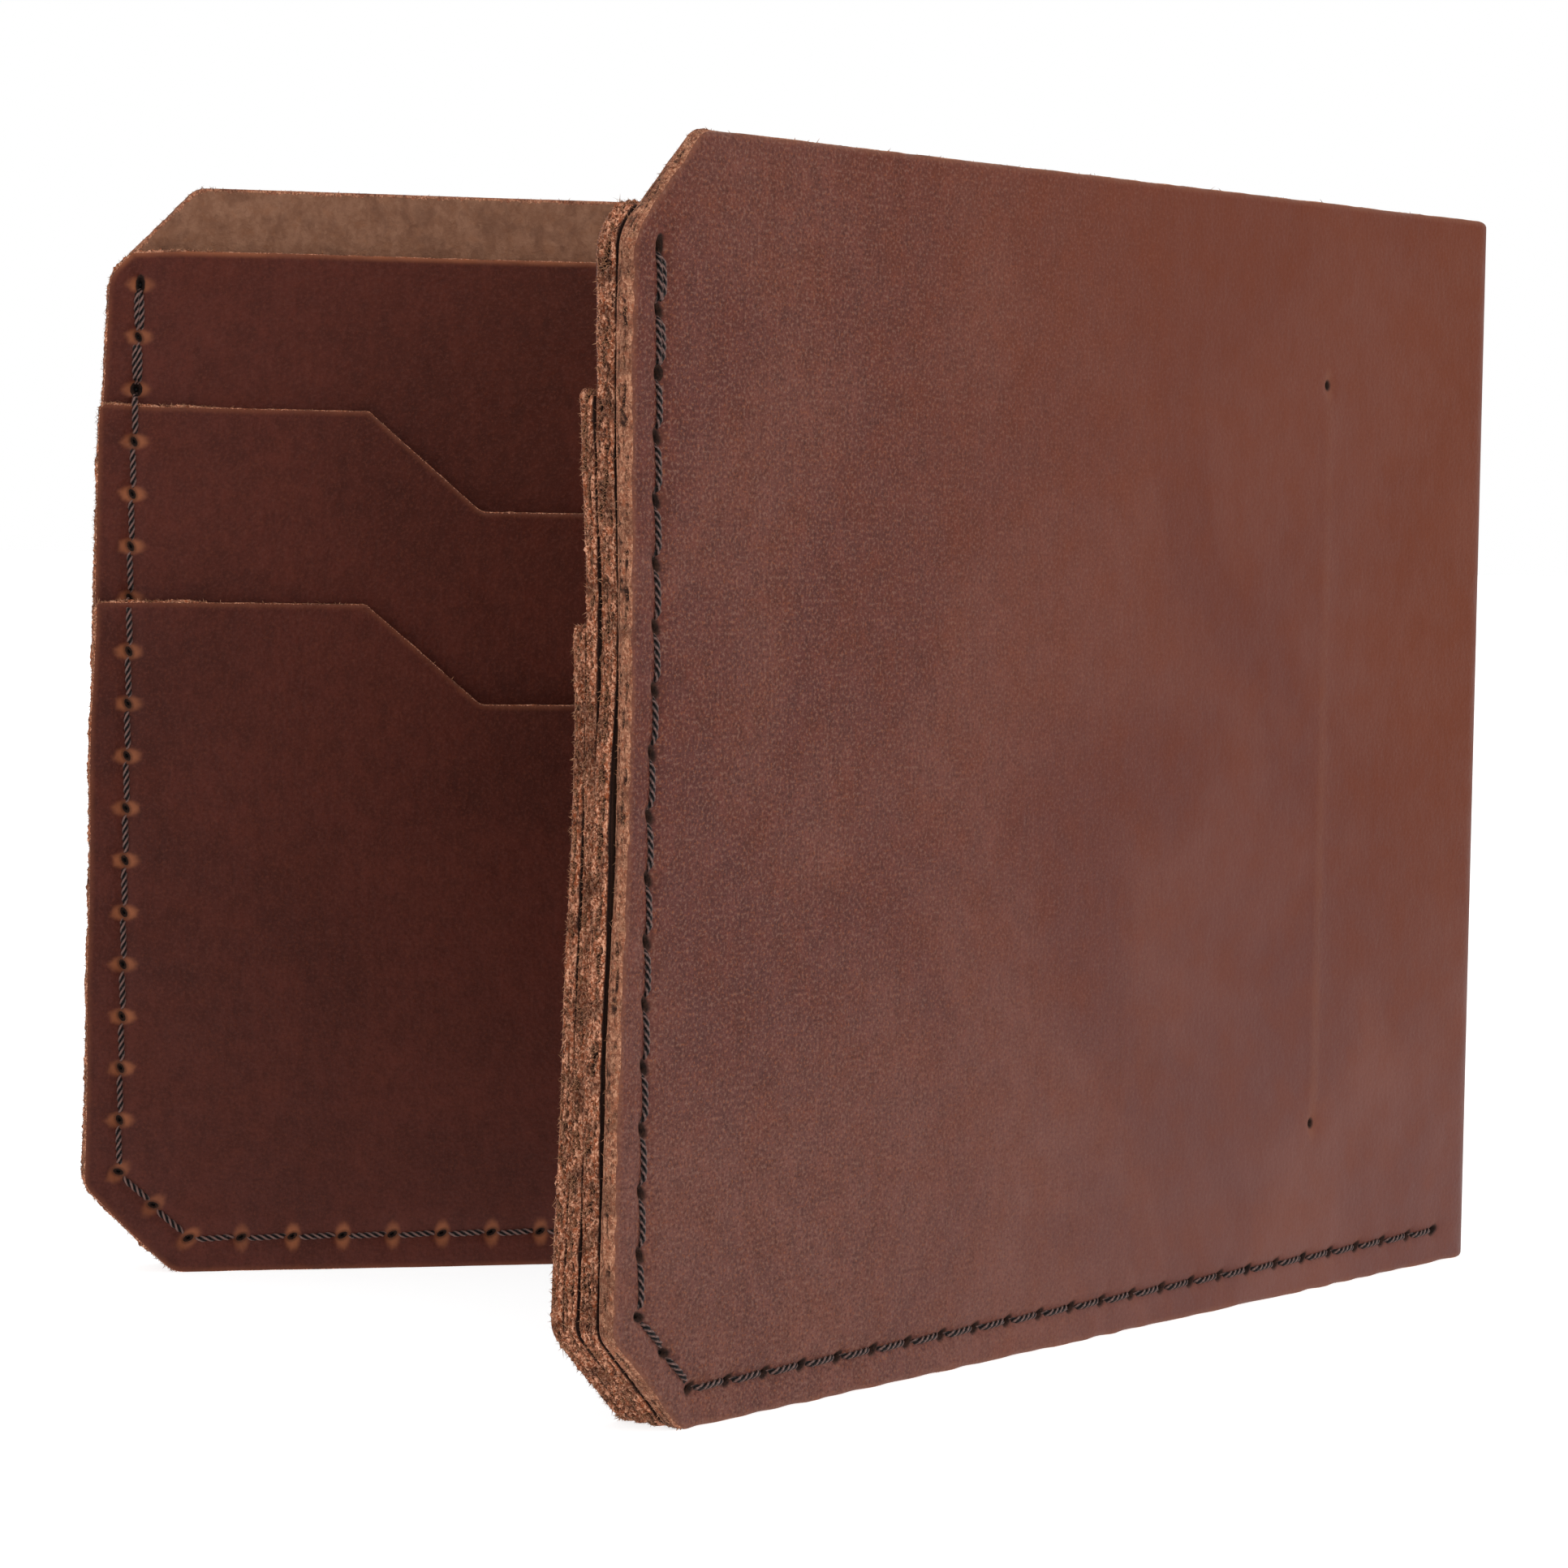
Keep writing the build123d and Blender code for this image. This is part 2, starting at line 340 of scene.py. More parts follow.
# How the free edges have warped with use: at each height, how far the edge has moved
# towards the spine, and how far the layers there have spread apart, in millimetres.
BACK_WARP = np.array((
    (0.0, 0.0, 0.0), (20.0, 0.29, 0.0), (40.0, 0.5, 0.0), (60.0, 0.69, 0.0),
    (68.0, 0.86, 0.0), (76.0, 1.15, 0.0), (84.0, 1.38, 0.0), (90.0, 1.42, 0.0),
))
FRONT_WARP = np.array((
    (0.0, -0.25, 0.1), (15.0, -0.1, 0.1), (27.0, 0.03, -0.1), (38.0, 0.08, -0.4),
    (44.0, 0.1, -0.5), (52.0, 0.45, -0.45), (58.0, 0.36, -0.3), (66.0, 0.2, 0.35),
    (71.0, 0.15, 0.55), (77.0, 0.15, 1.0), (84.0, 0.1, 0.85), (90.0, 0.0, 0.8),
))


class Half:
    """What the layers of one half share: its body's name, its wear and its needle holes.

    fuzz is the fibres on a millimetre of rim, rough how much the rims are frayed, skew how
    far the free edges stand out for each millimetre of depth, and hole a slit's size.
    """

    def __init__(self, name, front, seed):
        self.name, self.front = name, front
        self.rng = np.random.default_rng(seed)
        self.sag_waves = Waves(self.rng, 60.0, 160.0, 7)
        self.sag_depth = 0.06 if front else 0.12
        self.fuzz = 52 if front else 24
        self.rough = 1.0 if front else 0.6
        self.skew = 0.0 if front else 0.11
        self.hole = (0.6, 0.32) if front else (0.46, 0.26)
        self.warp = FRONT_WARP if front else BACK_WARP

    def sag(self, u, z):
        """How far the whole half lies off its flat, as depth."""
        free = 1.0 - ease(u, -70.0, -8.0)
        return self.sag_depth * self.sag_waves(u, z) * free

    def pattern(self, co):
        """Where points (u, z, depth) lie in the leather's pattern, which crosses the spine."""
        co = co * MM
        if self.front:
            co[:, 0] = 2 * MID_SPINE * MM - co[:, 0]
        return co

    def place(self, u, z, depth):
        u, z, depth = np.broadcast_arrays(u, z, depth)
        move = np.interp(z, self.warp[:, 0], self.warp[:, 1]) * ease(-u, 50.0, PANEL)
        move = move - self.skew * depth * ease(-u, 100.0, PANEL)
        spread = np.interp(z, self.warp[:, 0], self.warp[:, 2]) * depth / LOWER[1]
        spread = spread * (1.0 - ease(u + PANEL, 0.5, 9.0))
        return place(u + move, z, depth + self.sag(u, z) + spread, self.front)


# Meshes.

def new_object(name, data):
    obj = bpy.data.objects.new(name, data)
    bpy.context.scene.collection.objects.link(obj)
    return obj


def mesh_object(name, points, faces, materials, index, attributes):
    mesh = bpy.data.meshes.new(name)
    mesh.from_pydata(points.tolist(), [], faces)
    for material in materials:
        mesh.materials.append(material)
    mesh.polygons.foreach_set("material_index", np.asarray(index, np.int32))
    mesh.polygons.foreach_set("use_smooth", np.ones(len(faces), bool))
    for key, values in attributes.items():
        values = np.asarray(values, np.float32)
        kind = "FLOAT_VECTOR" if values.ndim == 2 else "FLOAT"
        field = mesh.attributes.new(key, kind, "POINT")
        field.data.foreach_set("vector" if values.ndim == 2 else "value", values.ravel())
    mesh.update()
    return new_object(name, mesh)


def loop_normals(loop, closed):
    """Outward normals of an anticlockwise outline."""
    if closed:
        ahead, behind = np.roll(loop, -1, 0), np.roll(loop, 1, 0)
    else:
        ahead, behind = np.vstack((loop[1:], loop[-1:])), np.vstack((loop[:1], loop[:-1]))
    way = ahead - behind
    way /= np.linalg.norm(way, axis=1)[:, None]
    return np.stack((way[:, 1], -way[:, 0]), 1)


def grid(end, step_u, step_z):
    """A brick pattern of points over a half, up to end."""
    us = np.arange(-PANEL, end, step_u)
    zs = np.arange(step_z / 2, HEIGHT, step_z)
    u, z = np.meshgrid(us, zs)
    u = u + (np.arange(len(zs)) % 2)[:, None] * step_u * 0.5
    return np.stack((u.ravel(), z.ravel()), 1)


class Layer:
    """One piece of leather: two faces on one triangulation, rims and needle holes.

    depths are those of its outer and inner face, holes are slits as ellipse() takes them,
    seams is a line of points, and look says how it is worn and what it is made of.
    """

    def __init__(self, half, name, corners, depths, holes, seams, look):
        self.half, self.name, self.look = half, name, look
        self.outer, self.inner = depths
        self.closed = closed = look["closed"]
        loop = rounded(corners, look["spacing"], closed)
        step = np.linalg.norm(np.diff(loop, axis=0), axis=1)
        self.run = np.concatenate(([0.0], np.cumsum(step)))
        slow = Waves(half.rng, 18.0, 70.0, 5)
        ends = 0.12 + 0.88 * ease(-loop[:, 0], 109.0, 115.0)
        if not closed:
            ends = ends * (1 - ease(loop[:, 0], -20.0, 0.0))
        stray = look["stray"] * slow(loop[:, 0], loop[:, 1]) * ends
        self.loop = loop + loop_normals(loop, closed) * stray[:, None]
        self.normals = loop_normals(self.loop, closed)
        self.holes, self.seam_line = holes, seams
        self.slits = np.array([
            (u + reach * cos(tilt), z + reach * sin(tilt))
            for u, z, long, wide, tilt in holes
            for reach in np.linspace(wide - long, long - wide, 4)])
        self.triangulate()
        self.press()
        self.add_faces()
        self.add_rims()
        self.add_holes()
        self.obj = self.mesh()

    def inner_points(self):
        """Points over the layer: fine along its seams, its ridge and its bend."""
        zone = grid(MID_SPINE, FINE_STEP, FINE_STEP)
        clear = nearest(zone, self.slits) > SLIT_GAP + 0.15
        fine = [zone[(nearest(zone, self.seam_line) < FINE_REACH) & clear]]
        zone = grid(MID_SPINE, MIDDLE_STEP, MIDDLE_STEP)
        far = nearest(zone, self.seam_line)
        fine.append(zone[(far > MIDDLE_REACH[0]) & (far < MIDDLE_REACH[1])])
        end = 0.0
        if not self.closed:
            fine += [column(du - SIDE_SEAM, 8.0, 81.0, 1.0) for du in np.arange(-2.2, 2.21, 0.4)]
            fine += [column(u, 1.2, HEIGHT - 0.8, 2.4)
                     for u in np.arange(-TANGENT - 0.8, MID_SPINE - 0.2, 0.38)]
            end = -TANGENT - 1.5
        coarse = grid(end, *COARSE_STEP)
        coarse = coarse[nearest(coarse, np.vstack(fine)) > COARSE_GAP]
        points = np.vstack([coarse] + fine)
        points = points[nearest(points, self.loop) > self.look["insets"][-1] + 0.2]
        points = points[nearest(points, self.slits) > SLIT_GAP]
        return points[self.inside(points)]

    def rim_points(self):
        """Rows of points inside the outline and round each hole."""
        extra = [self.loop - self.normals * inset for inset in self.look["insets"]]
        for grow, count in ((0.17, 12), (0.42, 14)):
            extra += [ellipse(hole, grow, count, 0.5) for hole in self.holes]
        rims = np.vstack(extra)
        clear = nearest(rims, self.loop) > self.look["insets"][0] * 0.7
        return rims[self.inside(rims) & clear]

    def triangulate(self):
        """One triangulation for both faces, open at the needle holes."""
        loop = self.loop
        border = along((loop[-1], loop[0]), 1.2)[1:-1] if not self.closed else loop[:0]
        chain = list(range(len(loop) + len(border))) + [0]
        edges = list(zip(chain, chain[1:]))
        points = [loop, border]
        self.hole_loops = []
        for hole in self.holes:
            start = sum(map(len, points))
            ids = list(range(start, start + HOLE_POINTS))
            self.hole_loops.append(ids)
            edges += zip(ids, ids[1:] + ids[:1])
            points.append(ellipse(hole, 0.0, HOLE_POINTS))
        spots = np.vstack(points + [self.rim_points(), self.inner_points()])
        made = delaunay_2d_cdt([Vector(p) for p in spots], edges, [], 1, 1e-5, True)
        flat = np.array([tuple(v) for v in made[0]])
        number = {old: new for new, olds in enumerate(made[3]) for old in olds}
        self.loop_ids = np.array([number[i] for i in range(len(loop))])
        self.hole_loops = [np.array([number[i] for i in ids]) for ids in self.hole_loops]
        owner = np.full(len(flat), -1)
        for k, ids in enumerate(self.hole_loops):
            owner[ids] = k
        tris = np.array([f for f in made[2] if len(f) == 3])
        own = owner[tris]
        filled = (own[:, 0] >= 0) & (own == own[:, :1]).all(1)
        tris = tris[~filled]
        on_rim = np.isin(tris, self.loop_ids).all(1)
        outside = np.zeros(len(tris), bool)
        outside[on_rim] = ~self.inside(flat[tris[on_rim]].mean(1))
        tris = tris[~outside]
        a, b, c = flat[tris[:, 0]], flat[tris[:, 1]], flat[tris[:, 2]]
        ab, ac = b - a, c - a
        area = ab[:, 0] * ac[:, 1] - ab[:, 1] * ac[:, 0]
        tris[area < 0] = tris[area < 0][:, ::-1]
        self.flat, self.tris, self.u, self.z = flat, tris, flat[:, 0], flat[:, 1]

    def inside(self, points):
        """Which points lie within the outline."""
        x, y = points[:, :1], points[:, 1:]
        x0, y0 = self.loop.T
        x1, y1 = np.roll(self.loop, -1, 0).T
        hits = np.zeros(len(points), int)
        for i in range(0, len(points), 2000):
            part = slice(i, i + 2000)
            crossing = (y0 > y[part]) != (y1 > y[part])
            with np.errstate(divide="ignore", invalid="ignore"):
                at = (x1 - x0) * (y[part] - y0) / (y1 - y0) + x0
            hits[part] = (crossing & (x[part] < at)).sum(1)
        return hits % 2 == 1

    def covered(self, z):
        """1 where another layer lies against the flesh side, 0 above that layer."""
        top = self.look["bare_above"]
        return 1.0 - ease(z, top - 0.6, top)

    def press(self):
        """The depths of both faces, with rounded rims and what seams and holes press in."""
        look, u, z = self.look, self.u, self.z
        self.rim = nearest(self.flat, self.loop)
        self.rim[self.loop_ids] = 0.0
        self.slit = nearest(self.flat, self.slits)
        seam = nearest(self.flat, self.seam_line)
        swell = np.clip(0.85 + 0.3 * Waves(self.half.rng, 1.5, 9.0)(u, z), 0.45, 1.25)

        def rounding(radius):
            short = np.clip(radius - self.rim, 0.0, radius)
            return radius - np.sqrt(radius ** 2 - short ** 2)

        outer_drop = rounding(look["round_outer"] * swell)
        inner_drop = rounding(look["round_inner"] * swell)
        self.pins = np.full(len(u), FAR)
        if self.closed:
            inner_drop = inner_drop + pressed(seam, GROOVE_INNER) + pressed(self.slit, DENT)
        else:
            outer_drop = outer_drop + pressed(seam, GROOVE_OUTER) + pressed(self.slit, DENT)
            span = ease(z, CARD_STOP - 3, CARD_STOP + 2)
            span = span * (1 - ease(z, SIDE_SEAM_TOP - 2, SIDE_SEAM_TOP + 3))
            outer_drop = outer_drop - pressed(u + SIDE_SEAM, RIDGE) * span
            self.pins = np.sqrt((u + SIDE_SEAM) ** 2 / 0.8 ** 2 + np.minimum(
                (z - SIDE_SEAM_TOP) ** 2, (z - CARD_STOP) ** 2) / 1.7 ** 2)
            outer_drop = outer_drop + pressed(self.pins, PIN_DENT)
        self.outer_depth, self.inner_depth = self.outer + outer_drop, self.inner - inner_drop

    def add_faces(self):
        """The outer and the inner face, whose outermost triangles are bare like the rim."""
        look, tris, count = self.look, self.tris, len(self.flat)
        # At the outer side the outline runs anticlockwise in u, z, which faces +depth.
        self.faces = [tuple(t[::-1]) for t in tris] + [tuple(t + count) for t in tris]
        sides = [np.zeros(len(tris), int), np.ones(len(tris), int)]
        bare_rim = self.rim[tris].mean(1)
        sides[look["flesh_side"]][bare_rim < look["fray"]] = RIM
        sides[1 - look["flesh_side"]][bare_rim < look["bare"]] = RIM
        self.index = list(np.concatenate(sides))
        self.spots = [(self.u, self.z, self.outer_depth), (self.u, self.z, self.inner_depth)]

    def add_points(self, flat, depth):
        """More points, between the two faces, and their numbers."""
        first = sum(len(u) for u, _, _ in self.spots)
        self.spots.append((flat[:, 0], flat[:, 1], depth))
        return np.arange(first, first + len(flat))

    def add_rims(self):
        """The raw edge: rows of points that bulge, furrow and fray, with painted shade in the furrows."""
        look, loop, ids, rng = self.look, self.loop, self.loop_ids, self.half.rng
        rows, rough = look["rows"], look["rough"]
        low, high = self.outer_depth[ids], self.inner_depth[ids]
        fibre = Waves(rng, 0.45, 1.6, 10)
        ridge = Waves(rng, 1.5, 7.0, 8)
        free = ease(-loop[:, 0], PANEL - 9.0, PANEL - 7.0)
        calm = 0.3 + 0.7 * np.maximum(free, 0.3 * (1 - ease(loop[:, 1], 1.0, 3.0)))
        calm = calm * (0.5 + 0.5 * ease(loop[:, 1], 0.3, 2.0))
        if not self.closed:
            calm = calm * (1 - ease(loop[:, 0], MID_SPINE - 3.0, MID_SPINE - 0.3))
        covered = self.covered(loop[:, 1])
        # Painted shade: the wall darkens in the groove where the next layer lies against the flesh side.
        groove = covered * np.clip(0.7 + 0.35 * ridge(self.run, 3.0), 0.1, 1.0)
        self.wall_cavity, row_ids = [], [ids]
        for t in np.arange(1, rows + 1) / (rows + 1):
            depth = low + (high - low) * t
            bulge = look["bulge"] * 4 * t * (1 - t)
            furrow = np.sin(2 * pi * depth / FURROW + 1.3 * ridge(self.run * 0.35, 0.0))
            push = bulge + rough * (
                0.45 * fibre(self.run, depth * 2.6) + 0.4 * ridge(self.run * 0.8, depth * 2.0)
                + 0.35 * furrow + 0.55 * rng.uniform(-1, 1, len(ids)))
            push = push * calm * self.half.rough
            row_ids.append(self.add_points(loop + self.normals * push[:, None], depth))
            # Painted shade: parts of the wall pushed in less than the bulge are darker, as in a furrow.
            raised = 0.55 + 1.2 * (push - bulge) / (2.2 * rough)
            from_flesh = t if look["flesh_side"] == 0 else 1 - t
            shade = 1.0 - groove * bell(from_flesh, 0.22)
            shade = shade * (1.0 - 0.6 * covered * bell(1.0 - from_flesh, 0.12))
            self.wall_cavity.append(np.clip(raised, 0.0, 1.0) * shade)
        row_ids.append(ids + len(self.flat))
        last = len(ids) if self.closed else len(ids) - 1
        for near_row, far_row in zip(row_ids, row_ids[1:]):
            for i in range(last):
                j = (i + 1) % len(ids)
                self.faces.append((near_row[i], near_row[j], far_row[j], far_row[i]))
                self.index.append(RIM)
        self.low, self.high, self.cap = low, high, None
        if not self.closed:
            self.add_cap(row_ids)

    def add_cap(self, row_ids):
        """The flat face in the middle of the spine, where the halves of the cover meet."""
        top, bottom = [row[0] for row in row_ids], [row[-1] for row in row_ids]
        line = sorted(np.flatnonzero(abs(self.u - MID_SPINE) < 1e-4), key=lambda i: self.z[i])
        ring = line + top[1:-1] + [i + len(self.flat) for i in reversed(line)]
        self.cap = len(self.faces)
        self.faces.append(tuple(ring + bottom[-2:0:-1]))
        self.index.append(RIM)

    def add_holes(self):
        """The walls of the needle holes, which are narrow in the middle."""
        count = len(self.flat)
        for ids, hole in zip(self.hole_loops, self.holes):
            centre = np.array(hole[:2])
            waist = centre + HOLE_WAIST * (self.flat[ids] - centre)
            mid = self.add_points(waist, np.full(HOLE_POINTS, (self.outer + self.inner) / 2))
            for i in range(HOLE_POINTS):
                j = (i + 1) % HOLE_POINTS
                self.faces.append((ids[j], ids[i], mid[i], mid[j]))
                self.faces.append((mid[j], mid[i], ids[i] + count, ids[j] + count))
                self.index += [HOLE_WALL, HOLE_WALL]

    def attributes(self):
        """What the materials read at each point, as distances in millimetres or 0 to 1."""
        look, u, z, count = self.look, self.u, self.z, len(self.flat)
        many = sum(len(spot) for spot, _, _ in self.spots[2:])

        def pad(values, rest):
            """Values of both faces' points, and one for all the rest."""
            return np.concatenate((values, values, np.full(many, rest)))

        gain = np.full(count, look["rim_gain"])
        if look["worn_top"]:
            top = look["worn_top"]
            gain = gain + (1.0 - gain) * ease(z, top - 3.0, top - 0.8)
        halo = halo_distance(self.flat, np.array([h[:2] for h in self.holes]))
        # Painted shade, 1 where unshaded: the flesh face darkens near its rim where another layer covers it,
        # and the walls carry their groove and furrow shade.
        cavity = [np.ones(count), np.ones(count)]
        shade = self.covered(z) * (0.3 + 0.7 * ease(self.rim, 0.0, 0.22))
        cavity[look["flesh_side"]] = 1.0 - shade
        cavity += self.wall_cavity + [np.ones(many - sum(map(len, self.wall_cavity)))]
        beyond = np.maximum(np.maximum(z - SIDE_SEAM_TOP, CARD_STOP - z), 0.0)
        co = np.vstack([np.stack(spot, 1) for spot in self.spots])
        return {
            "leather_co": self.half.pattern(co),
            "cavity": np.concatenate(cavity),
            "rim_mm": np.clip(pad(self.rim, 0.0), 0, 12.0),
            "hole_mm": np.clip(pad(halo, FAR), 0, 6.0),
            "slit_mm": np.clip(pad(self.slit, FAR), 0, 6.0),
            "rim_gain": pad(gain, 1.0),
            "ridge_mm": np.clip(pad(np.hypot(u + SIDE_SEAM, beyond), FAR), 0, 12.0),
            "pin": np.clip(pad(self.pins, FAR), 0, FAR),
            "run_mm": pad(u, 0.0),
        }

    def mesh(self):
        """The piece in its place; the cap in the middle of the spine is flat."""
        points = np.vstack([self.half.place(*spot) for spot in self.spots])
        faces = [f[::-1] for f in self.faces] if self.half.front else self.faces
        obj = mesh_object(f"{self.name}_{self.half.name}", points, faces,
                          self.look["materials"], self.index, self.attributes())
        if self.cap is not None:
            face = obj.data.polygons[self.cap]
            face.use_smooth = False
            sharp = set(face.edge_keys)
            for edge in obj.data.edges:
                edge.use_edge_sharp = edge.key in sharp
        return obj


def fibres(half, layers):
    """Loose fibres that stand off the raw edges: slim closed slivers."""
    rng = half.rng
    spots, faces, tone = [], [], []
    for layer in layers:
        loop, normals = layer.loop, layer.normals
        count = int(layer.run[-1] * half.fuzz * layer.look["fuzz"])
        pick = rng.integers(0, len(loop), count)
        bare = (loop[pick, 0] > 9.0 - PANEL) & (loop[pick, 1] > 2.0)
        bends = loop[pick, 0] > -2 * TANGENT
        pick = pick[(~bare | (rng.uniform(0, 1, count) < 0.03)) & ~bends]
        count = len(pick)
        t = rng.uniform(0.03, 0.97, count)
        depth = layer.low[pick] + (layer.high[pick] - layer.low[pick]) * t
        tang = np.stack((-normals[pick, 1], normals[pick, 0]), 1)
        base = loop[pick] + tang * rng.uniform(-0.2, 0.2, count)[:, None]
        length = rng.gamma(3.0, 0.055, count) * layer.look["fuzz_length"]
        length = np.clip(length, 0.07, 0.42)
        lean = rng.normal(0.0, 1.2, count)
        tip = base + normals[pick] * length[:, None] + tang * (lean * length)[:, None]
        tip_depth = depth + rng.normal(0.0, 1.0, count) * length
        tip_depth = np.clip(tip_depth, layer.outer + 0.05, layer.inner - 0.02)
        width = rng.uniform(0.03, 0.075, count)
        base = base - normals[pick] * 0.06
        a, b, c, d = np.arange(4 * count).reshape(4, count) + sum(map(len, tone))
        for sign_u, sign_d in ((1.0, 0.0), (-0.5, 0.87), (-0.5, -0.87)):
            spot = base + tang * (width * sign_u)[:, None]
            spots.append((spot[:, 0], spot[:, 1], depth + width * sign_d))
        spots.append((tip[:, 0], tip[:, 1], tip_depth))
        tone += [rng.uniform(0, 1, count)] * 4
        for tri in ((a, c, b), (a, b, d), (b, c, d), (c, a, d)):
            faces += np.stack(tri, 1).tolist()
    points = np.vstack([half.place(*spot) for spot in spots])
    co = half.pattern(np.vstack([np.stack(spot, 1) for spot in spots]))
    if half.front:
        faces = [f[::-1] for f in faces]
    return mesh_object(
        f"raw_edge_fibres_{half.name}", points, faces, [FIBRE],
        [0] * len(faces), {"leather_co": co, "tone": np.concatenate(tone)})


# Thread.

# Sizes of the thread in millimetres: its plies, and the posts that fill the holes.
PLY_TURN = 1.9
PLY_R = 0.145
STRAND_R = 0.135
SINK = 0.2
POST_R = 0.27
POST_END = 0.75
POST_SIDES = 8
POST_RINGS = 4


def pocket_top(u, shoulder_top, end):
    """Height of a pocket's top edge at u."""
    from_side = np.minimum(u + PANEL, end - u)
    fall = np.clip((from_side - SHOULDER) / SLOPE_RUN, 0.0, 1.0)
    return shoulder_top - THUMB_DROP * fall


def inner_face(u, z):
    """Depth of the innermost leather at a point of a half."""
    depth = np.full(np.shape(u), LINER[1])
    in_pocket = u < UPPER[2]
    depth = np.where(in_pocket & (z < pocket_top(u, UPPER[3], UPPER[2])), UPPER[1], depth)
    return np.where(in_pocket & (z < pocket_top(u, LOWER[3], LOWER[2])), LOWER[1], depth)


def tube_faces(first, rings, sides, flip=False):
    """The faces round rings of points that follow each other, and the two ends."""
    faces = []
    for ring in range(first, first + (rings - 1) * sides, sides):
        for k in range(sides):
            a, b = ring + k, ring + (k + 1) % sides
            if flip:
                a, b = b, a
            faces.append((a, b, b + sides, a + sides))
    near, far = range(first, first + sides), range(ring + sides, ring + 2 * sides)
    return faces + ([tuple(near), tuple(far[::-1])] if flip else [tuple(near[::-1]), tuple(far)])


def stitch(start, end, face, outward, rng, offset, slack):
    """One stitch on a face: three twisted plies that dive into both holes.

    face gives the leather's depth at (u, z), and outward is the sign of depth away from it.
    """
    way = end - start
    length = np.linalg.norm(way)
    way = way / length
    side = np.array((-way[1], way[0]))
    steps, sides = 22, 6
    s = 0.5 - 0.5 * np.cos(np.linspace(0, pi, steps))
    s = 0.1 + s * (length - 0.2)
    slant = 0.12 * (s / length - 0.5) * 2
    bow = offset * np.sin(pi * s / length) ** 0.5
    flat = start + way * s[:, None] + side * (slant + bow)[:, None]
    level = np.pad(face(flat[:, 0], flat[:, 1]) * outward, 3, mode="edge")
    level = np.max([level[i:i + steps] for i in range(7)], 0)
    level = np.pad(level, 1, mode="edge")
    level = (level[:-2] + 2 * level[1:-1] + level[2:]) / 4
    dive = 1.5 * (np.exp(-(s / 0.55) ** 2) + np.exp(-((length - s) / 0.55) ** 2))
    rise = level - SINK - dive + (0.07 + slack) * np.sin(pi * s / length)
    line = np.stack((flat[:, 0], flat[:, 1], rise * outward), 1)
    tangent = np.gradient(line, axis=0)
    tangent /= np.linalg.norm(tangent, axis=1)[:, None]
    across = np.array((side[0], side[1], 0.0))
    up = np.cross(tangent, across)
    up /= np.linalg.norm(up, axis=1)[:, None]
    run = np.concatenate(([0.0], np.cumsum(np.linalg.norm(np.diff(line, axis=0), axis=1))))
    phase = rng.uniform(0, 2 * pi)
    points, faces, strand = [], [], []
    for ply in range(3):
        angle = phase + 2 * pi * (run / PLY_TURN + ply / 3)
        centre = line + STRAND_R * (
            np.cos(angle)[:, None] * across + np.sin(angle)[:, None] * up)
        faces += tube_faces(ply * steps * sides, steps, sides)
        for i in range(steps):
            turn = np.arange(sides) * 2 * pi / sides
            ring = centre[i] + PLY_R * (
                np.cos(turn)[:, None] * across + np.sin(turn)[:, None] * up[i])
            points.append(ring)
            # The cosine round each ply, 1 on its outer side: it lays a painted highlight there and painted
            # shade between the plies.
            strand += np.cos(turn - angle[i]).tolist()
    return np.vstack(points), faces, strand


def seam_thread(half, name, holes, outer, inner, doubled):
    """A row of stitches on both sides of the leather, joined through the holes."""
    rng = half.rng
    points, faces, strand = [], [], []
    start = 0
    for face, outward in ((outer, -1.0), (inner, 1.0)):
        for i, (a, b) in enumerate(zip(holes, holes[1:])):
            runs = [(0.17, 0.04), (-0.2, 0.0)] if i < doubled else [(0.0, 0.0)]
            for offset, slack in runs:
                made, polys, tone = stitch(a, b, face, outward, rng, offset, slack)
                points.append(made)
                faces += [tuple(v + start for v in f) for f in polys]
                strand += tone
                start += len(made)
    turn = np.arange(POST_SIDES) * 2 * pi / POST_SIDES
    for u, z in holes:
        high, low = outer(u, z) + POST_END, inner(u, z) - POST_END
        for depth in np.linspace(high, low, POST_RINGS):
            points.append(np.stack((u + POST_R * np.cos(turn), z + POST_R * np.sin(turn),
                                    np.full(POST_SIDES, depth)), 1))
        faces += tube_faces(start, POST_RINGS, POST_SIDES, flip=True)
        # The posts in the holes take the darkest value: painted shade.
        strand += [-1.0] * (POST_RINGS * POST_SIDES)
        start += POST_RINGS * POST_SIDES
    every = np.vstack(points)
    placed = half.place(every[:, 0], every[:, 1], every[:, 2])
    co = half.pattern(every)
    if half.front:
        faces = [f[::-1] for f in faces]
    return mesh_object(f"{name}_{half.name}", placed, faces, [THREAD], [0] * len(faces),
                       {"leather_co": co, "strand": np.array(strand)})


# Materials.

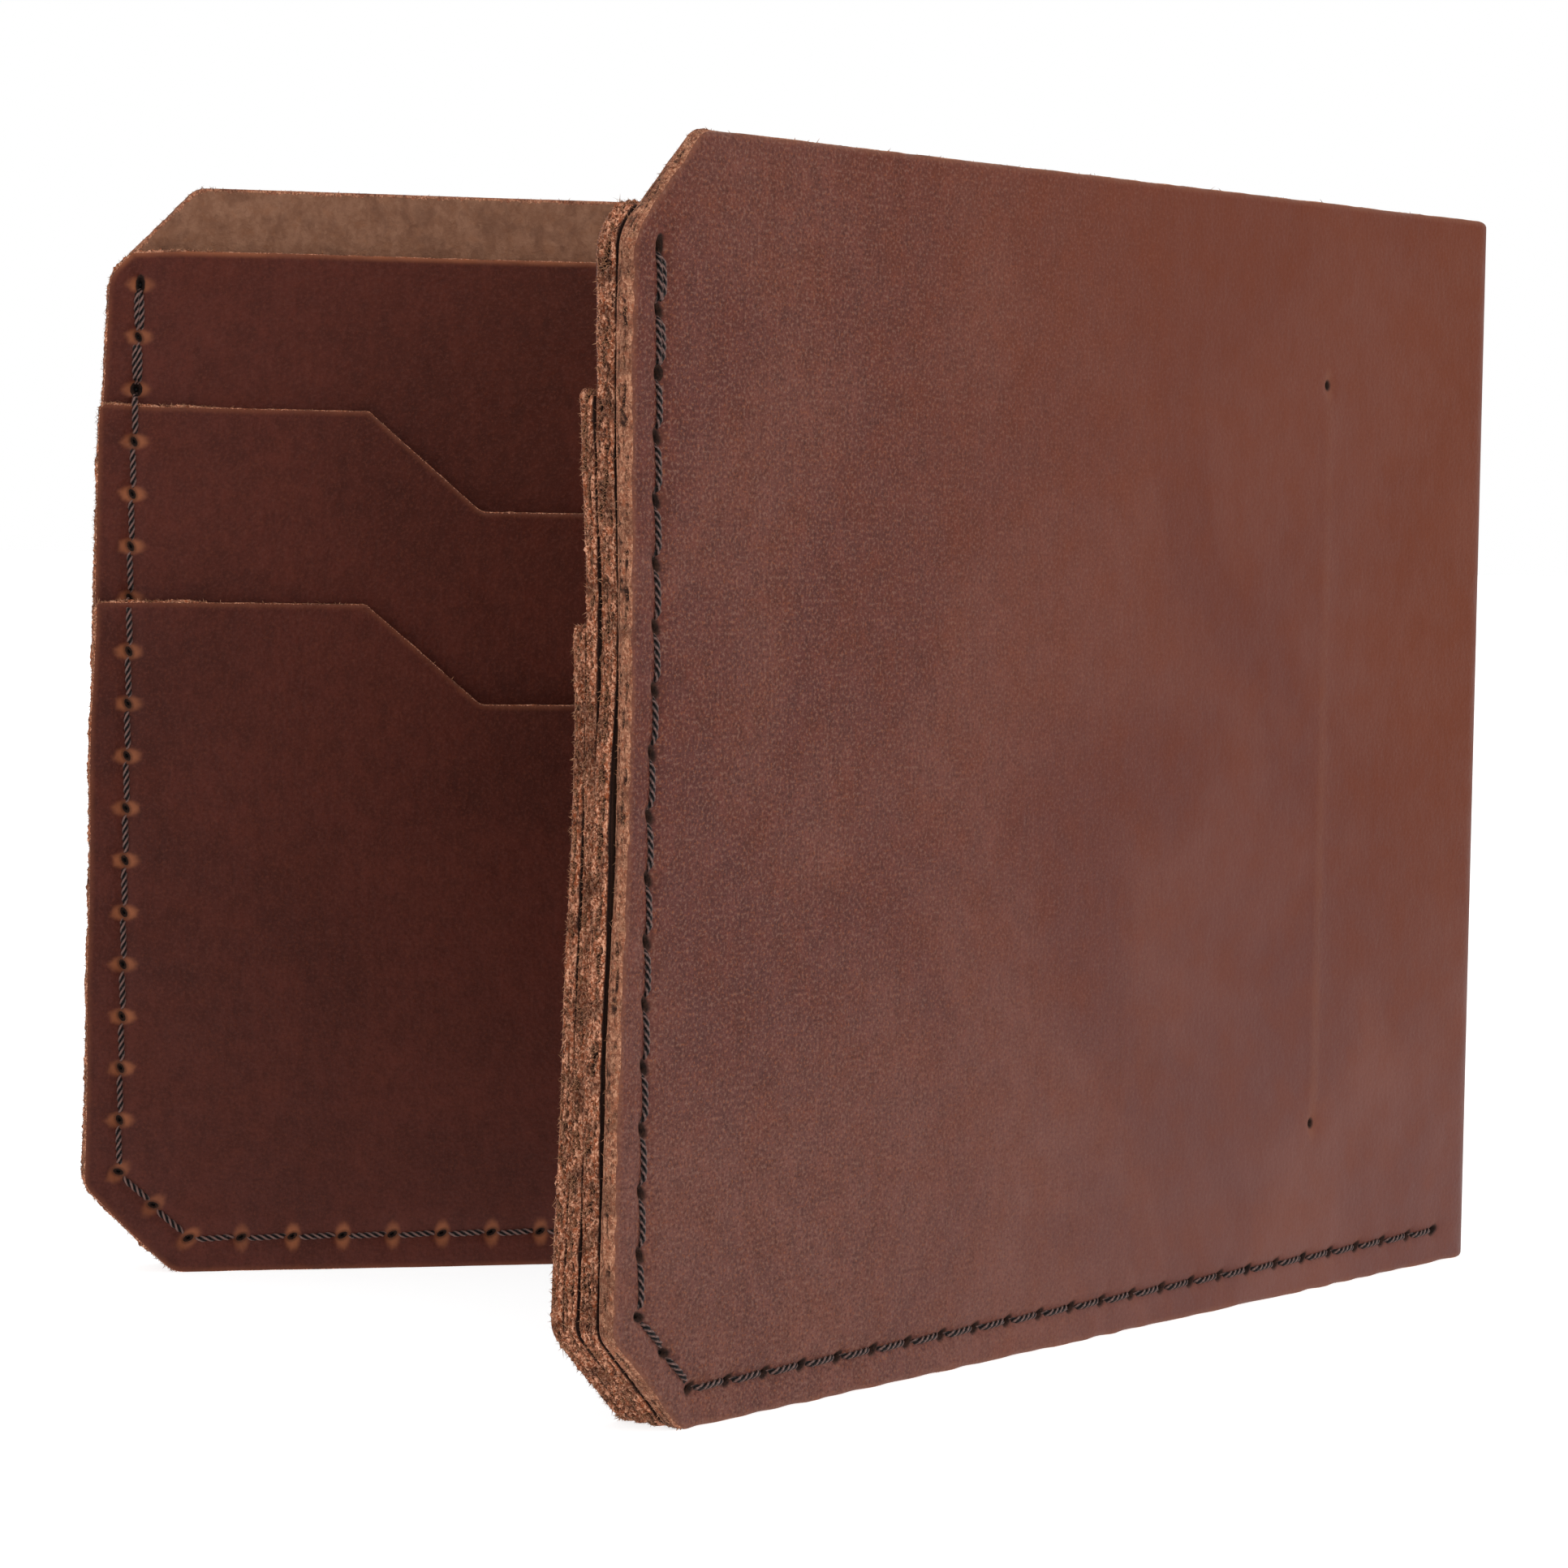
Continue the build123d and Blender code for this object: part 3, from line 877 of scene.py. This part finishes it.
class Nodes:
    """A small helper that adds and links shader nodes."""

    def __init__(self, name):
        self.material = bpy.data.materials.new(name)
        self.material.use_nodes = True
        self.tree = self.material.node_tree
        self.tree.nodes.clear()
        self.shader = self.add("ShaderNodeBsdfPrincipled")
        out = self.add("ShaderNodeOutputMaterial")
        self.link(self.shader.outputs[0], out.inputs["Surface"])

    def add(self, kind, inputs=None, **values):
        """A node with these properties and inputs."""
        node = self.tree.nodes.new(kind)
        for key, value in values.items():
            setattr(node, key, value)
        for key, value in (inputs or {}).items():
            self.feed(node.inputs[key], value)
        return node

    def link(self, source, target):
        self.tree.links.new(source, target)

    def feed(self, socket, value):
        if isinstance(value, bpy.types.NodeSocket):
            self.link(value, socket)
        elif isinstance(value, tuple) and len(value) == 3 and socket.type == "RGBA":
            socket.default_value = (*value, 1.0)
        else:
            socket.default_value = value

    def attribute(self, name, vector=False):
        node = self.add("ShaderNodeAttribute", attribute_name=name)
        return node.outputs["Vector" if vector else "Fac"]

    def stretch(self, vector, scale):
        inputs = {0: vector, 1: scale}
        return self.add("ShaderNodeVectorMath", inputs, operation="MULTIPLY").outputs[0]

    def noise(self, vector, scale, detail=2.0, rough=0.5, warp=0.0):
        inputs = {"Vector": vector, "Scale": scale, "Detail": detail, "Roughness": rough,
                  "Distortion": warp}
        return self.add("ShaderNodeTexNoise", inputs).outputs["Fac"]

    def cells(self, vector, scale, output="Distance"):
        """Distance to the nearest cell's centre, or that cell's random Color."""
        inputs = {"Vector": vector, "Scale": scale}
        return self.add("ShaderNodeTexVoronoi", inputs).outputs[output]

    def remap(self, value, low, high, to_low=0.0, to_high=1.0, smooth=True):
        kind = "SMOOTHSTEP" if smooth else "LINEAR"
        inputs = {"Value": value, "From Min": low, "From Max": high,
                  "To Min": to_low, "To Max": to_high}
        return self.add("ShaderNodeMapRange", inputs, interpolation_type=kind).outputs["Result"]

    def by(self, name, *limits):
        """A value that depends on one of the mesh's attributes."""
        return self.remap(self.attribute(name), *limits)

    def math(self, operation, a, b):
        return self.add("ShaderNodeMath", {0: a, 1: b}, operation=operation).outputs[0]

    def times(self, a, b):
        return self.math("MULTIPLY", a, b)

    def plus(self, a, b):
        return self.math("ADD", a, b)

    def most(self, a, b):
        return self.math("MAXIMUM", a, b)

    def mix(self, factor, a, b, blend="MIX"):
        inputs = {"Factor": factor, 6: a, 7: b}
        node = self.add("ShaderNodeMix", inputs, data_type="RGBA", blend_type=blend)
        return node.outputs[2]

    def grey(self, value):
        return self.add("ShaderNodeCombineColor", {0: value, 1: value, 2: value}).outputs[0]

    def bump(self, height, distance, strength=1.0):
        inputs = {"Strength": strength, "Distance": distance, "Height": height}
        node = self.add("ShaderNodeBump", inputs)
        self.link(node.outputs[0], self.shader.inputs["Normal"])

    def finish(self, colour, roughness, specular):
        self.feed(self.shader.inputs["Base Color"], colour)
        self.feed(self.shader.inputs["Roughness"], roughness)
        self.feed(self.shader.inputs["Specular IOR Level"], specular)
        return self.material


def grain_leather(
        name, deep, mid, warm, worn, wear_and_slit_shade, flecks, grain, level, roughness, specular):
    """Waxed full-grain leather: fine pores, cloudy colour, tan where it is worn.

    wear_and_slit_shade holds the wear of the rim, the needle holes and the ridge, the rim's width in
    millimetres and the strength of the painted shade in the needle slits; flecks the pale, dark
    and orange specks; grain the strength of the specks at the free edge and its share at the
    spine; level the brightness at the free edge and at the spine, which is painted light and
    shade, and the painted floor bounce that brightens the bottom.
    """
    rim_wear, hole_wear, ridge_wear, rim_width, slit_shade_strength = wear_and_slit_shade
    pale, dark, orange = flecks
    strength, spine_share = grain
    free_edge_painted_light, spine_painted_light, foot_painted_bounce = level
    n = Nodes(name)
    co = n.attribute("leather_co", True)
    height = n.add("ShaderNodeSeparateXYZ", {0: co}).outputs[1]

    cloud = n.noise(co, 42.0, 3.0, 0.55, 0.6)
    blotch = n.noise(co, 230.0, 3.0, 0.6)
    streak = n.noise(n.stretch(co, (1.0, 0.35, 1.0)), 900.0, 2.0, 0.6)
    fine = n.noise(co, 3600.0, 2.0, 0.7)
    other = n.noise(n.stretch(co, (1.1, 0.9, 1.3)), 4300.0, 1.0, 0.6)
    pores = n.cells(co, 2200.0)
    calm = n.by("run_mm", -100.0, -40.0, 1.0, spine_share)
    tone = n.mix(n.remap(cloud, 0.38, 0.62), deep, mid)
    # Warmer towards the spine; upper makes it warmer towards the top as painted light, the warm side of a
    # painted floor bounce.
    spine = n.times(n.by("run_mm", -50.0, -4.0, 0.0, 0.8), n.remap(height, 0.0, 0.05, 0.0, 1.0))
    upper = n.remap(height, 0.01, 0.09, 0.0, 0.7, False)
    upper = n.times(upper, n.by("run_mm", -112.0, -50.0, 0.3, 1.0))
    tone = n.mix(n.most(spine, upper), tone, warm)
    tone = n.mix(n.remap(blotch, 0.4, 0.75, 0.0, 0.25), tone, warm)
    # Painted light: paler towards the bottom, as if lit from the floor.
    tone = n.mix(n.remap(height, 0.045, 0.003, 0.0, 0.17), tone, pale)
    mottle = n.noise(co, 700.0, 2.0, 0.6, 0.3)
    bright = n.plus(n.remap(streak, 0.3, 0.7, -0.09, 0.09), n.remap(mottle, 0.3, 0.7, -0.09, 0.09))
    bright = n.times(bright, calm)
    # Painted light: a brighter foot from a painted floor bounce; below, the brightness from the free edge to
    # the spine is painted light and shade.
    foot = n.by("run_mm", -110.0, -20.0, 0.0, foot_painted_bounce, False)
    bright = n.plus(bright, n.times(foot, n.remap(height, 0.045, 0.003)))
    bright = n.plus(bright, n.by("run_mm", -112.0, -50.0, free_edge_painted_light - 1.0, spine_painted_light - 1.0))
    tone = n.mix(1.0, tone, n.grey(n.plus(bright, 1.0)), "MULTIPLY")
    amount = n.times(calm, strength)
    for value, low, high, colour in (
            (fine, 0.5, 0.68, pale), (fine, 0.47, 0.33, dark), (other, 0.56, 0.72, orange)):
        tone = n.mix(n.times(n.remap(value, low, high), amount), tone, colour)
    tone = n.mix(n.times(n.remap(pores, 0.06, 0.22, 0.5, 0.0), amount), tone, dark)
    patchy = n.remap(blotch, 0.3, 0.65, 0.55, 1.0)
    rim = n.by("rim_mm", 0.05, rim_width, 1.0, 0.0)
    rim = n.times(rim, n.attribute("rim_gain"))
    halo = n.by("hole_mm", 0.45, 1.15, 1.0, 0.0)
    ridge = n.by("ridge_mm", 0.1, 1.0, 1.0, 0.0)
    ridge = n.times(ridge, n.remap(height, 0.02, 0.07, 1.0, 0.4))
    pin = n.by("pin", 0.3, 1.2, 0.3, 0.0)
    wear = n.most(n.times(rim, rim_wear), n.times(halo, hole_wear))
    wear = n.most(wear, n.times(ridge, ridge_wear))
    wear = n.times(wear, patchy)
    tone = n.mix(n.most(wear, pin), tone, worn)
    # Painted shade: near-black in and around the needle slits.
    slit_shade = n.by("slit_mm", 0.3, 0.52, slit_shade_strength, 0.0)
    tone = n.mix(slit_shade, tone, (0.012, 0.006, 0.005))
    shine = n.remap(blotch, 0.3, 0.7, roughness - 0.05, roughness + 0.07)
    relief = n.plus(n.times(fine, 0.6), n.times(pores, 0.5))
    relief = n.plus(relief, n.times(streak, 0.8))
    n.bump(relief, 0.00005, 1.0)
    return n.finish(tone, shine, specular)


def fibrous_leather(name, dark, mid, light, fleck, distance, scale=1.0, contrast=1.0):
    """Flesh side or raw edge: matted fibres in several browns, with painted shade where cavity is low."""
    n = Nodes(name)
    co = n.attribute("leather_co", True)
    cavity = n.attribute("cavity")
    blotch = n.noise(co, 420.0, 3.0, 0.6, 0.4)
    fibre = n.noise(n.stretch(co, (1.0, 0.6, 1.5)), 2300.0 * scale, 3.0, 0.75, 0.8)
    fine = n.noise(co, 4600.0 * scale, 2.0, 0.8)
    hue = n.noise(n.stretch(co, (1.2, 0.8, 0.9)), 1500.0 * scale, 2.0, 0.6)
    tuft = n.cells(n.stretch(co, (1.0, 0.8, 1.2)), 7000.0 * scale, "Color")
    # deep is the colour of the painted shade in grooves and furrows.
    deep = tuple(0.4 * c for c in dark)
    warm = (1.15 * mid[0], 0.9 * mid[1], 0.6 * mid[2])
    tone = n.mix(n.remap(hue, 0.42, 0.6), mid, light)
    ember = n.noise(n.stretch(co, (0.8, 1.0, 1.2)), 2600.0 * scale, 2.0, 0.6)
    for value, low, high, most, colour in (
            (ember, 0.54, 0.66, 0.6 * contrast, warm),
            (tuft, 0.55, 0.85, 0.7 * contrast, fleck),
            (tuft, 0.38, 0.16, 0.6 * contrast, dark),
            (fibre, 0.47, 0.35, 0.75 * contrast, dark),
            (fine, 0.54, 0.64, 0.7 * contrast, fleck),
            (blotch, 0.52, 0.36, 0.3 + 0.25 * contrast, dark)):
        tone = n.mix(n.remap(value, low, high, 0.0, most), tone, colour)
    # Painted shade: where the attribute is low, in grooves and furrows, the colour goes to deep.
    tone = n.mix(n.remap(cavity, 0.0, 0.6, 1.0, 0.0), tone, deep)
    relief = n.plus(n.times(fibre, 0.6), n.times(fine, 0.5))
    relief = n.plus(relief, n.times(tuft, 0.3 * contrast))
    n.bump(relief, distance, 1.0)
    return n.finish(tone, 0.9, 0.2)


def thread_material():
    """Waxed dark brown thread, with a painted highlight on the plies' outer sides and painted shade between
    the plies and on the posts in the holes.
    """
    n = Nodes("thread")
    co = n.attribute("leather_co", True)
    strand = n.attribute("strand")
    fuzz = n.noise(co, 5200.0, 2.0, 0.6)
    # Painted highlight on the plies' outer sides, painted shade between them and in the holes.
    tone = n.mix(n.remap(strand, 0.3, 1.0), (0.005, 0.003, 0.003), (0.180, 0.098, 0.082))
    tone = n.mix(n.remap(fuzz, 0.54, 0.66, 0.0, 0.3), tone, (0.22, 0.155, 0.14))
    tone = n.mix(n.remap(strand, 0.4, -0.2), tone, (0.004, 0.003, 0.003))
    n.bump(fuzz, 0.00004, 0.8)
    return n.finish(tone, 0.5, 0.15)


def fibre_material():
    """Loose fibres, from dark to pale brown with ruddy spots."""
    n = Nodes("edge_fibre")
    tone = n.mix(n.attribute("tone"), (0.14, 0.050, 0.024), (0.58, 0.29, 0.16))
    spot = n.noise(n.attribute("leather_co", True), 900.0, 2.0)
    tone = n.mix(n.remap(spot, 0.35, 0.7, 0.0, 0.5), tone, (0.34, 0.13, 0.05))
    return n.finish(tone, 0.85, 0.3)


# level: the free edge darker and the spine brighter as painted light, and a painted floor bounce at the
# foot.
COVER_GRAIN = grain_leather(
    "cover_grain", (0.088, 0.0252, 0.0212), (0.116, 0.0380, 0.0295), (0.128, 0.0270, 0.0078),
    (0.20, 0.078, 0.045), (0.5, 0.15, 0.22, 0.6, 0.7),
    ((0.190, 0.094, 0.068), (0.038, 0.011, 0.008), (0.19, 0.060, 0.027)), (0.62, 0.14),
    (0.87, 0.98, 0.12), 0.55, 0.10)
# The inside's grain is the cover's leather painted darker, as painted shade of the wallet's inside, and also
# redder. Its level darkens it towards the spine as the near half's painted shadow and brightens the foot as
# a painted floor bounce.
INSIDE_GRAIN_SHADED = grain_leather(
    "inside_grain_shaded", (0.052, 0.0112, 0.0073), (0.072, 0.0152, 0.0098), (0.069, 0.0120, 0.0040),
    (0.27, 0.088, 0.038), (0.7, 0.9, 0.0, 0.6, 0.45),
    ((0.096, 0.028, 0.019), (0.040, 0.009, 0.005), (0.105, 0.026, 0.013)), (0.4, 0.6),
    (0.98, 0.76, 0.45), 0.5, 0.12)
FLESH = fibrous_leather(
    "flesh_side", (0.100, 0.042, 0.025), (0.185, 0.083, 0.047), (0.220, 0.104, 0.061),
    (0.29, 0.15, 0.092), 0.00016, 0.42, 0.28)
RAW_EDGE = fibrous_leather(
    "raw_edge", (0.048, 0.0155, 0.0090), (0.335, 0.094, 0.038), (0.420, 0.150, 0.078),
    (0.90, 0.45, 0.28), 0.00036, 1.0, 1.2)
COVER_EDGE = fibrous_leather(
    "cover_edge", (0.075, 0.027, 0.016), (0.270, 0.094, 0.050), (0.330, 0.136, 0.076),
    (0.60, 0.30, 0.18), 0.00024, 1.0, 0.85)
THREAD = thread_material()
FIBRE = fibre_material()
# Near-black walls of the needle holes: painted shade inside the holes.
HOLE_SHADE = fibrous_leather(
    "needle_hole_shade", (0.010, 0.005, 0.004), (0.022, 0.010, 0.007), (0.03, 0.013, 0.008),
    (0.05, 0.02, 0.012), 0.00012)

# Each kind of layer. In millimetres: the spacing of the outline's points, the insets of the
# rows of points inside it, how far the cut strays, the rounding of the rims, how rough and
# bulging the raw edge is, the bare strips on the flesh side (fray) and the grain side (bare),
# the top that is worn, and the height above which no layer covers the flesh side.
COVER_LOOK = {
    "materials": (COVER_GRAIN, FLESH, COVER_EDGE, HOLE_SHADE), "closed": False,
    "spacing": 0.32, "insets": (0.1, 0.24, 0.42, 0.7), "stray": 0.12,
    "round_outer": 0.42, "round_inner": 0.18, "rows": 6, "rough": 0.07, "bulge": 0.08,
    "fuzz": 0.5, "fuzz_length": 0.7, "flesh_side": 1, "fray": 0.3, "bare": 0.1,
    "rim_gain": 1.0, "worn_top": None, "bare_above": LINER[3],
}
LINER_LOOK = {
    "materials": (FLESH, INSIDE_GRAIN_SHADED, RAW_EDGE, HOLE_SHADE), "closed": True,
    "spacing": 0.2, "insets": (0.08, 0.2, 0.4), "stray": 0.16,
    "round_outer": 0.32, "round_inner": 0.22, "rows": 8, "rough": 0.19, "bulge": 0.12,
    "fuzz": 1.0, "fuzz_length": 1.0, "flesh_side": 0, "fray": 0.4, "bare": 0.03,
    "rim_gain": 0.3, "worn_top": LINER[3], "bare_above": HEIGHT,
}
POCKET_LOOK = dict(LINER_LOOK, rows=6, round_outer=0.38, round_inner=0.18, bulge=0.1,
                   rim_gain=0.4, worn_top=None)


def punched(holes, size):
    """Needle slits, each turned a little from the line of its seam."""
    ahead = np.vstack((holes[1:], 2 * holes[-1:] - holes[-2:-1])) - holes
    turn = np.arctan2(ahead[:, 1], ahead[:, 0]) + SLIT_TILT
    return [(u, z, *size, angle) for (u, z), angle in zip(holes, turn)]


def leather(half):
    """The four layers of a half, from the outside in."""
    outer, side, stop = (punched(seam, half.hole) for seam in (OUTER_SEAM, SIDE, STOP))
    worn = list(outer)
    worn[0] = (*OUTER_SEAM[0], 0.85, 0.38, pi / 2)
    worn[2] = (*OUTER_SEAM[2], 0.62, 0.52, pi / 2)
    marks = [(*pin, 0.36, 0.30, pi / 2) for pin in PINS]
    outer_line = along(OUTER_SEAM, LINE_STEP)
    lines = np.vstack((outer_line, along(SIDE, LINE_STEP)))
    outline = cover_corners()
    if not half.front:
        outline = [(max(u, COVER_TRIM - PANEL), z, radius) for u, z, radius in outline]

    def pocket(name, size, holes):
        line = lines[(lines[:, 0] < size[2]) & (lines[:, 1] < size[3])]
        within = [h for h in outer + side
                  if h[0] < size[2] - EDGE_CLEAR and h[1] < size[3] - EDGE_CLEAR]
        return Layer(half, name, pocket_corners(*size[2:]), size[:2], within + holes, line,
                     POCKET_LOOK)

    return (
        Layer(half, "cover_leather", outline, (0.0, COVER_T), worn + marks, outer_line,
              COVER_LOOK),
        Layer(half, "liner_leather", layer_corners(*LINER[2:]), LINER[:2],
              worn + side + stop, lines, LINER_LOOK),
        pocket("upper_pocket_leather", UPPER, stop),
        pocket("lower_pocket_leather", LOWER, []),
    )


def threads(half):
    """The perimeter seam, the side seam and the card stop."""
    def level(depth):
        return lambda u, z: np.full(np.shape(u), depth)

    bill_face, slot_face = level(LINER[0] + 0.1), level(UPPER[1] - 0.15)
    return (
        seam_thread(half, "perimeter_stitching", OUTER_SEAM, level(0.0), inner_face, 2),
        seam_thread(half, "side_seam_stitching", SIDE, bill_face, inner_face, 0),
        seam_thread(half, "card_stop_stitching", STOP, bill_face, slot_face, 0),
    )


def build_half(half):
    """One half's pieces on its body; the cover's panel, which bends, is returned."""
    layers = leather(half)
    cover, liner, upper, lower = (layer.obj for layer in layers)
    fuzz = fibres(half, layers)
    perimeter, side, stop = threads(half)
    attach(fuzz, half.name)
    for obj, slot, node in (
            (liner, "lining_leather", "liner"),
            (upper, "pocket_leather", "upper_pocket"),
            (lower, "pocket_leather", "lower_pocket"),
            (perimeter, "thread", "perimeter_thread"),
            (side, "thread", "side_seam_thread"),
            (stop, "thread", "card_stop_thread")):
        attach(obj, half.name)
        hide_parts(f"{node}_{half.name}")
    return cover


cover_back = build_half(Half("back", False, 11))
cover_front = build_half(Half("front", True, 23))

start = place(-TANGENT, 0.0, 0.0, False)
end = place(ARC - TANGENT, 0.0, 0.0, False)
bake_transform(cover_back, "back", "spine", start=tuple(start), end=tuple(end))
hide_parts("cover_panel_back", "cover_spine")
start = place(ARC - TANGENT, 0.0, 0.0, True)
end = place(-TANGENT, 0.0, 0.0, True)
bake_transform(cover_front, "spine", "front", start=tuple(start), end=tuple(end))
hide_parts("cover_panel_front")


# Floor, light and camera.

def floor():
    """White paper, wide enough to fill the view."""
    size, steps = 6.0, 24
    turn = [2 * pi * i / steps for i in range(steps)]
    points = [(0.0, 0.0, 0.0)] + [(size * cos(t), size * sin(t), 0.0) for t in turn]
    faces = [(0, 1 + i, 1 + (i + 1) % steps) for i in range(steps)]
    mesh = bpy.data.meshes.new("floor")
    mesh.from_pydata(points, [], faces)
    obj = new_object("floor", mesh)
    n = Nodes("floor")
    co = n.add("ShaderNodeTexCoord").outputs["Object"]
    tone = n.mix(n.noise(co, 900.0, 2.0), (0.40, 0.40, 0.40), (0.42, 0.42, 0.42))
    n.feed(n.shader.inputs["Emission Color"], (1.0, 1.0, 1.0))
    n.feed(n.shader.inputs["Emission Strength"], 0.80)
    mesh.materials.append(n.finish(tone, 0.9, 0.1))


def sun_light(name, source, strength, spread):
    """Parallel light that comes from the direction source, softened over an angle."""
    data = bpy.data.lights.new(name, "SUN")
    data.energy = strength
    data.angle = radians(spread)
    obj = new_object(name, data)
    obj.rotation_euler = Vector(source).to_track_quat("Z", "Y").to_euler()


def light():
    """A white room and one soft key light from the right."""
    world = bpy.data.worlds.new("studio")
    world.use_nodes = True
    background = world.node_tree.nodes["Background"].inputs
    background["Color"].default_value = (1.0, 1.0, 1.0, 1.0)
    background["Strength"].default_value = 1.0
    bpy.context.scene.world = world
    sun_light("key", (0.62, -0.62, 0.6), 0.75, 40.0)
    bpy.context.scene.view_settings.view_transform = "Standard"


def camera():
    """An unshifted long lens, a little rolled, at the height of the wallet's upper third."""
    data = bpy.data.cameras.new("camera")
    data.lens = 108.03
    data.sensor_width = 36.0
    data.clip_end = 50.0
    obj = new_object("camera", data)
    look = Vector((0.23940, 0.96925, -0.05686)).normalized()
    right = look.cross(Vector((0.0, 0.0, 1.0))).normalized()
    up = right.cross(look)
    roll = radians(0.96154)
    side = right * cos(roll) + up * sin(roll)
    top = up * cos(roll) - right * sin(roll)
    turn = Matrix((side, top, -look)).transposed()
    obj.matrix_world = Matrix.Translation((-0.09708, -0.35326, 0.06363)) @ turn.to_4x4()
    bpy.context.scene.camera = obj


floor()
light()
camera()
